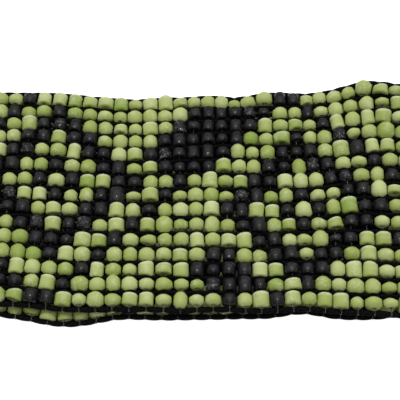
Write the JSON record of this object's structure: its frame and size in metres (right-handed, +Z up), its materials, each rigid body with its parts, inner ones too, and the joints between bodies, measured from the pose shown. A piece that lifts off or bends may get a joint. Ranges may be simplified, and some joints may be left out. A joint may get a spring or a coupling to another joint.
{
  "type": "beaded belt",
  "caption": "Wide woven seed-bead belt, a closed loop lying flattened in two layers, lime and black diamond pattern, black cord along both edges.",
  "frame": {"origin": "on the surface that the belt lies on, under the middle of its box", "axes": "+X along the flattened belt, +Y across it from the near edge to the far edge, +Z up"},
  "size_m": [0.3816, 0.0672, 0.0148],
  "materials": {
    "bead_lime": "opaque lime glass, satin gloss",
    "bead_black": "opaque black glass, glossy",
    "cord_black": "twisted waxed cord, matt",
    "thread_clear": "clear nylon thread"
  },
  "bodies": {
    "root": {"bead_band": "bead_lime", "edge_cord_far": "cord_black", "edge_cord_near": "cord_black"}
  },
  "joints": []
}
